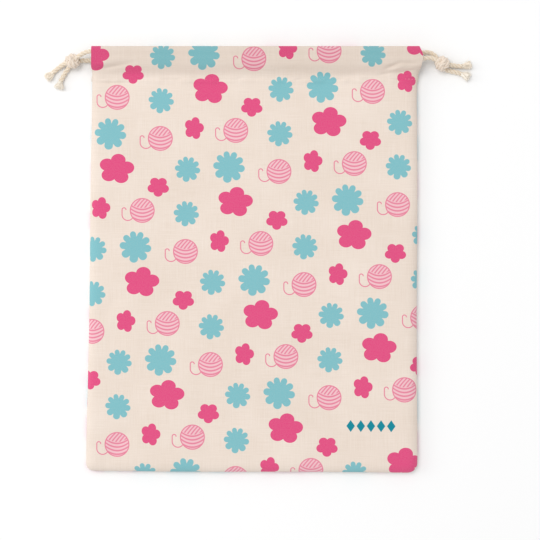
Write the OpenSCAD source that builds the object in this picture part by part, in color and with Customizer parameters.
// Flat cotton drawstring bag for knitting. It lies on its back panel, with its mouth towards +Y.
// The origin is the middle of the bag on the surface it lies on, and +Z is up.

/* [Bag] */
// Width of the bag from side seam to side seam
bag_w = 300; // [240:10:360]
// Height of the bag from bottom seam to mouth
bag_h = 390; // [300:10:480]
// Thickness of the cotton cloth
cloth = 0.6; // [0.5:0.05:0.8]
// Radius of the two bottom corners
corner_r = 6; // [4:0.5:12]
// Distance over which the cloth rolls up from an edge to its full height
side_roll = 12; // [8:1:20]
// Width of the sewn allowances inside the side and bottom seams
allowance = 7.5; // [5:0.5:10]

/* [Casing] */
// Depth of the turned hem that the cords run in
casing_depth = 32; // [27:1:40]
// Height of the gap between the front and the back hem at the mouth
mouth_gap = 4.4; // [4.4:0.2:10]
// Width of the flat double strip at the foot of the hem, which is sewn through
sewn_strip = 5; // [4:0.5:7]
// Distance of the stitch row from the foot of the hem
stitch_in = 2; // [1:0.25:2.5]
// Distance from one stitch to the next
stitch_pitch = 3; // [2.5:0.25:4]
// Length of one stitch
stitch_l = 2.3; // [1.5:0.1:2.3]
// Thickness of the sewing thread
thread = 0.5; // [0.3:0.05:0.6]
// Depth to which a stitch sinks into the cloth
stitch_sink = 0.3; // [0.2:0.05:0.4]
// Length of the tack that closes the foot of each side slit
tack_l = 4; // [3:0.5:5]
// Width of that tack
tack_w = 2.5; // [2:0.25:4]

/* [Drawstrings] */
// Diameter of the twisted cotton cord
cord_d = 4.5; // [3.5:0.25:5.5]
// Free room round a cord inside the hem
cord_room = 0.25; // [0.25:0.05:0.5]
// Free room between the two cords inside one hem
run_gap = 2.5; // [2.5:0.25:4]
// Distance from the middle of the folded top edge to the upper cord
fold_gap = 1.9; // [1.5:0.1:2.5]
// Room kept between a cord's turn and the side of the bag
turn_gap = 0.6; // [0.4:0.1:1]
// Room kept before a cord's turn where the inner layer of the hem stops
slit_lead = 2.8; // [2:0.2:5]
// Diameter of the knots
knot_d = 13.5; // [11:0.5:17]
// Diameter of the frayed cord ends
fray_d = 6.4; // [5.5:0.2:7]

/* [Hidden] */

cotton = [0.94, 0.89, 0.83];
sewing_thread = [0.96, 0.93, 0.88];
cord_cotton = [0.92, 0.86, 0.76];

// How far a cutting shape runs past the face it cuts
past = 0.1;

// The hem's section: the foot of the hem is at 0 and the folded mouth edge at casing_depth.
casing_h = cord_d + 2 * cord_room + 2 * cloth;
fold_at = casing_depth - casing_h / 2;
upper_run = fold_at - fold_gap;
lower_run = upper_run - cord_d - run_gap;
// Room beside the lower cord where the hem's slope starts
slope_gap = 2.75;
slope_end = lower_run - cord_d / 2 - slope_gap;

hem_foot_y = bag_h / 2 - casing_depth;
front_hem_z = casing_h + mouth_gap;
back_cord_z = casing_h / 2;
front_cord_z = front_hem_z + casing_h / 2;
upper_run_y = hem_foot_y + upper_run;
lower_run_y = hem_foot_y + lower_run;

// A cord's turn crosses from the front hem to the back hem at a slit.
turn_r = norm([upper_run_y - lower_run_y, front_cord_z - back_cord_z]) / 2;
turn_x = bag_w / 2 - turn_gap - turn_r - cord_d / 2;
slit_cut_x = turn_x - slit_lead;

// A cord leaves its hem here, and its lying height is that of its middle on the surface.
exit_gap = 1;
exit_x = bag_w / 2 - exit_gap;
lying_z = cord_d / 2 + 0.15;
exit_lead = 3;

// Seam allowances lie on the back panel, and keep this far from the rolled edge.
seam_gap = 1.5;
corner_gap = 4;

// The last three points of a free cord are its frayed end.
fray_points = 3;
cord_sides = 12;

// Routes of the free cords: outwards from the exit, along Y from the exit, and the height above
// lying_z in cord diameters
left_front_route = [
    [7, -1, 2.2], [11, -3, 1.95], [15, -5.5, 1.7], [19, -7.5, 1.6], [23.5, -9, 1.05], [28, -11, 0.35],
    [32.5, -14, 0], [37, -18, 0], [40, -21, 0], [43.5, -24, 0]
];
left_back_route = [
    [8, 0, 0.22], [13, -0.5, 0.4], [17.5, -2, 0.4], [21.5, -5.5, 0.27], [25, -10, 0.05], [28, -15, 0],
    [30, -19, 0], [31, -22.5, 0], [32, -26.5, 0]
];
right_front_route = [
    [7, 1, 2.2], [11.5, 1.5, 1.95], [16, 0.5, 1.75], [20, -2, 1.65], [24.5, -3.5, 1.5], [29.5, -4, 0.75],
    [34.5, -4.5, 0.15], [39.5, -5, 0], [43, -5, 0], [47, -4.5, 0], [51.5, -3.5, 0]
];
right_back_route = [
    [7.5, 0.5, 0.22], [12, 0.5, 0.3], [16, -1.5, 0.4], [19.5, -5.5, 0.45], [22, -10.5, 0.4],
    [25.5, -14.5, 0.25], [31, -16.5, 0.05], [36.5, -17.5, 0], [41.5, -19, 0], [45.5, -20.5, 0],
    [50, -22.5, 0]
];
// The middles of the knots: outwards from the exit, and along Y from midway between the exits
left_knot_at = [18.5, -4.5];
right_knot_at = [23.5, -7];

// ---- Cloth -------------------------------------------------------------------------------------

// Outline of a panel, with its foot corners rounded, up to the foot of the hem
module panel_outline() {
    straight_w = bag_w - 2 * corner_r;
    translate([-bag_w / 2, corner_r - bag_h / 2])
        square([bag_w, bag_h - casing_depth - corner_r]);
    translate([-straight_w / 2, -bag_h / 2])
        square([straight_w, 2 * corner_r]);
    for (side = [-1, 1])
        translate([side * straight_w / 2, corner_r - bag_h / 2])
            circle(r = corner_r, $fn = 64);
}

module back_panel() {
    color(cotton)
        linear_extrude(cloth)
            panel_outline();
}

// Share of the full height that the cloth has reached at t, from 0 at an edge to 1 after the roll
function roll_up(t) = t >= 1 ? 1 : sqrt(1 - (1 - t) * (1 - t));

// Steps through the roll, close together where the cloth is steep
roll_steps = [for (i = [0 : 6]) side_roll * (1 - cos(90 * i / 6))];
flat_columns = 14;
flat_rows = 16;
columns = 2 * len(roll_steps) + flat_columns - 1;
rows = len(roll_steps) + flat_rows;

// Half of the panel's width at a height above its foot, for a skin set in by inset
function half_width(inset, up) =
    let (r = corner_r - inset, w = bag_w / 2 - inset)
    up >= r ? w : w - r + sqrt(r * r - (r - up) * (r - up));

// Distance of a column from the left edge of a skin that is 2 * w wide
function column_in(w, i) =
    let (n = len(roll_steps))
    i < n ? roll_steps[i]
    : i < n + flat_columns - 1 ? side_roll + (i - n + 1) * 2 * (w - side_roll) / flat_columns
    : 2 * w - roll_steps[columns - 1 - i];

// Height of a row above the foot of a skin
function row_up(inset, j) =
    let (n = len(roll_steps))
    j < n ? roll_steps[j]
    : side_roll + (j - n + 1) * (bag_h - casing_depth - inset - side_roll) / flat_rows;

// One point of the outer skin (inset 0) or the inner skin (inset of one cloth)
function skin_point(inset, j, i) =
    let (
        up = row_up(inset, j),
        w = half_width(inset, up),
        in = column_in(w, i),
        nearest = min(in, 2 * w - in),
        full = front_hem_z - inset
    )
    [in - w, inset + up - bag_h / 2, cloth + full * roll_up(nearest / side_roll) * roll_up(up / side_roll)];

function skin(inset) =
    [for (j = [0 : rows - 1]) for (i = [0 : columns - 1]) skin_point(inset, j, i)];

// Two triangles between four points, turned over when flip is set
function quad(a, b, c, d, flip) = flip ? [[a, b, c], [a, c, d]] : [[a, c, b], [a, d, c]];

function skin_faces(first, flip) =
    [for (j = [0 : rows - 2]) for (i = [0 : columns - 2])
        let (a = first + j * columns + i)
        for (f = quad(a, a + 1, a + columns + 1, a + columns, flip)) f];

// Faces that close the rim between the outer skin and the inner skin
function rim_faces(inner) = concat(
    [for (i = [0 : columns - 2]) for (f = quad(i, i + 1, inner + i + 1, inner + i, true)) f],
    [for (i = [0 : columns - 2])
        let (a = (rows - 1) * columns + i)
        for (f = quad(a, a + 1, inner + a + 1, inner + a, false)) f],
    [for (j = [0 : rows - 2])
        let (a = j * columns)
        for (f = quad(a, a + columns, inner + a + columns, inner + a, false)) f],
    [for (j = [0 : rows - 2])
        let (a = (j + 1) * columns - 1)
        for (f = quad(a, a + columns, inner + a + columns, inner + a, true)) f]
);

module front_panel() {
    inner = rows * columns;
    color(cotton)
        polyhedron(
            points = concat(skin(0), skin(cloth)),
            faces = concat(skin_faces(0, false), skin_faces(inner, true), rim_faces(inner))
        );
}

// Section of the hem or, set in by one cloth, of its tunnel
module hem_section(inset, foot, foot_h) {
    polygon([
        [foot, inset], [fold_at, inset], [fold_at, casing_h - inset],
        [slope_end, casing_h - inset], [sewn_strip, foot_h], [foot, foot_h]
    ]);
    translate([fold_at, casing_h / 2])
        circle(d = casing_h - 2 * inset, $fn = 64);
}

// A hem that stands at z = 0. inner_z is the underside of its inner layer, which faces the mouth.
module hem(inner_z, groove_z) {
    difference() {
        translate([-bag_w / 2, hem_foot_y, 0])
            rotate([90, 0, 90])
                linear_extrude(bag_w)
                    difference() {
                        hem_section(0, 0, 2 * cloth);
                        hem_section(cloth, sewn_strip, cloth);
                    }
        for (side = [0, 1])
            mirror([side, 0, 0])
                translate([slit_cut_x, hem_foot_y + slope_end, inner_z - past])
                    cube([bag_w / 2, fold_at - slope_end, cloth + 2 * past]);
        translate([-bag_w, hem_foot_y + stitch_in - thread / 2, groove_z])
            cube([2 * bag_w, thread, stitch_sink]);
    }
}

module back_casing() {
    color(cotton)
        hem(casing_h - cloth, 0);
}

module front_casing() {
    color(cotton)
        translate([0, 0, front_hem_z])
            hem(0, 2 * cloth - stitch_sink);
}

// ---- Sewing ------------------------------------------------------------------------------------

// Folded allowances of a side seam, which lie inside on the back panel
module side_seam() {
    foot_y = allowance + seam_gap - bag_h / 2;
    translate([bag_w / 2 - seam_gap - allowance, foot_y, cloth])
        cube([allowance, hem_foot_y - seam_gap - foot_y, 2 * cloth]);
}

module left_side_seam() {
    color(cotton)
        mirror([1, 0, 0])
            side_seam();
}

module right_side_seam() {
    color(cotton)
        side_seam();
}

module bottom_seam() {
    seam_w = bag_w - 2 * corner_gap;
    color(cotton)
        translate([-seam_w / 2, seam_gap - bag_h / 2, cloth])
            cube([seam_w, allowance, 2 * cloth]);
}

// The row of stitches that closes a hem, with its underside at z = 0
module stitch_row() {
    count = floor((bag_w - stitch_pitch) / stitch_pitch);
    for (i = [0 : count - 1])
        translate([(i - (count - 1) / 2) * stitch_pitch - stitch_l / 2, hem_foot_y + stitch_in - thread / 2, 0])
            cube([stitch_l, thread, stitch_sink]);
}

module back_casing_stitching() {
    color(sewing_thread)
        stitch_row();
}

module front_casing_stitching() {
    color(sewing_thread)
        translate([0, 0, front_hem_z + 2 * cloth - stitch_sink])
            stitch_row();
}

// Tack of thread that holds the front hem to the back hem at the foot of a slit
module slit_tack() {
    color(sewing_thread)
        translate([bag_w / 2 - turn_gap - tack_w, hem_foot_y + sewn_strip - tack_l, 2 * cloth])
            cube([tack_w, tack_l, front_hem_z - 2 * cloth]);
}

module left_slit_tack() {
    mirror([1, 0, 0])
        slit_tack();
}

module right_slit_tack() {
    slit_tack();
}

// ---- Drawstrings -------------------------------------------------------------------------------

// A cord in both hems: it enters at the left, turns at the right slit and comes back.
module cord_run(front_y, back_y) {
    tilt = atan2(front_cord_z - back_cord_z, front_y - back_y);
    color(cord_cotton)
        translate([0, (front_y + back_y) / 2, (front_cord_z + back_cord_z) / 2])
            rotate([tilt, 0, 0]) {
                for (side = [-1, 1])
                    translate([-exit_x, side * turn_r, 0])
                        rotate([0, 90, 0])
                            cylinder(d = cord_d, h = exit_x + turn_x, $fn = 48);
                translate([turn_x, 0, 0])
                    rotate([0, 0, -90])
                        rotate_extrude(angle = 180, $fn = 96)
                            translate([turn_r, 0])
                                circle(d = cord_d, $fn = 48);
            }
}

function unit(v) = v / norm(v);

// Diameter at point i of n: the cord's own, widening over its frayed end
function point_d(n, i) =
    cord_d + max(0, i - n + fray_points) * (fray_d - cord_d) / (fray_points - 1);

// Points of a free cord: straight out of the exit, then along its route
function route_path(exit_y, exit_z, route) =
    let (n = len(route) + 2)
    concat(
        [[exit_x, exit_y, exit_z], [exit_x + exit_lead, exit_y, exit_z]],
        [for (i = [0 : len(route) - 1])
            let (p = route[i], rise = p[2] * cord_d + (point_d(n, i + 2) - cord_d) / 2)
            [exit_x + p[0], exit_y + p[1], lying_z + rise]]
    );

// Ring of points round point i of a path, square to the path
function ring(path, i) =
    let (
        along = unit(path[min(i + 1, len(path) - 1)] - path[max(i - 1, 0)]),
        across = unit(cross(along, [0, 0, 1])),
        over = cross(across, along),
        r = point_d(len(path), i) / 2
    )
    [for (k = [0 : cord_sides - 1])
        path[i] + r * (cos(360 * k / cord_sides) * across + sin(360 * k / cord_sides) * over)];

// Solid tube through the rings from first to last
module tube(path, first, last) {
    spans = last - first;
    points = [for (i = [first : last]) each ring(path, i)];
    walls = [for (i = [0 : spans - 1]) for (k = [0 : cord_sides - 1])
        let (a = i * cord_sides + k, b = i * cord_sides + (k + 1) % cord_sides)
        each [[a, b, b + cord_sides], [a, b + cord_sides, a + cord_sides]]];
    start_cap = [for (k = [cord_sides - 1 : -1 : 0]) k];
    end_cap = [for (k = [0 : cord_sides - 1]) spans * cord_sides + k];
    color(cord_cotton)
        polyhedron(points = points, faces = concat(walls, [start_cap], [end_cap]));
}

module free_cord(exit_y, exit_z, route) {
    path = route_path(exit_y, exit_z, route);
    tube(path, 0, len(path) - fray_points);
}

module frayed_end(exit_y, exit_z, route) {
    path = route_path(exit_y, exit_z, route);
    tube(path, len(path) - fray_points, len(path) - 1);
}

module knot(at) {
    color(cord_cotton)
        translate([exit_x + at[0], (upper_run_y + lower_run_y) / 2 + at[1], knot_d / 2])
            sphere(d = knot_d, $fn = 48);
}

// The left drawstring runs high in the front hem and low in the back hem.
module left_cord_run() {
    cord_run(upper_run_y, lower_run_y);
}

module left_cord_front() {
    mirror([1, 0, 0])
        free_cord(upper_run_y, front_cord_z, left_front_route);
}

module left_cord_back() {
    mirror([1, 0, 0])
        free_cord(lower_run_y, back_cord_z, left_back_route);
}

module left_knot() {
    mirror([1, 0, 0])
        knot(left_knot_at);
}

module left_frayed_front() {
    mirror([1, 0, 0])
        frayed_end(upper_run_y, front_cord_z, left_front_route);
}

module left_frayed_back() {
    mirror([1, 0, 0])
        frayed_end(lower_run_y, back_cord_z, left_back_route);
}

// The right drawstring enters at the right, and runs low in the front hem and high in the back hem.
module right_cord_run() {
    mirror([1, 0, 0])
        cord_run(lower_run_y, upper_run_y);
}

module right_cord_front() {
    free_cord(lower_run_y, front_cord_z, right_front_route);
}

module right_cord_back() {
    free_cord(upper_run_y, back_cord_z, right_back_route);
}

module right_knot() {
    knot(right_knot_at);
}

module right_frayed_front() {
    frayed_end(lower_run_y, front_cord_z, right_front_route);
}

module right_frayed_back() {
    frayed_end(upper_run_y, back_cord_z, right_back_route);
}

back_panel();
front_panel();
back_casing();
front_casing();
left_side_seam();
right_side_seam();
bottom_seam();
back_casing_stitching();
front_casing_stitching();
left_slit_tack();
right_slit_tack();
left_cord_run();
left_cord_front();
left_cord_back();
left_knot();
left_frayed_front();
left_frayed_back();
right_cord_run();
right_cord_front();
right_cord_back();
right_knot();
right_frayed_front();
right_frayed_back();
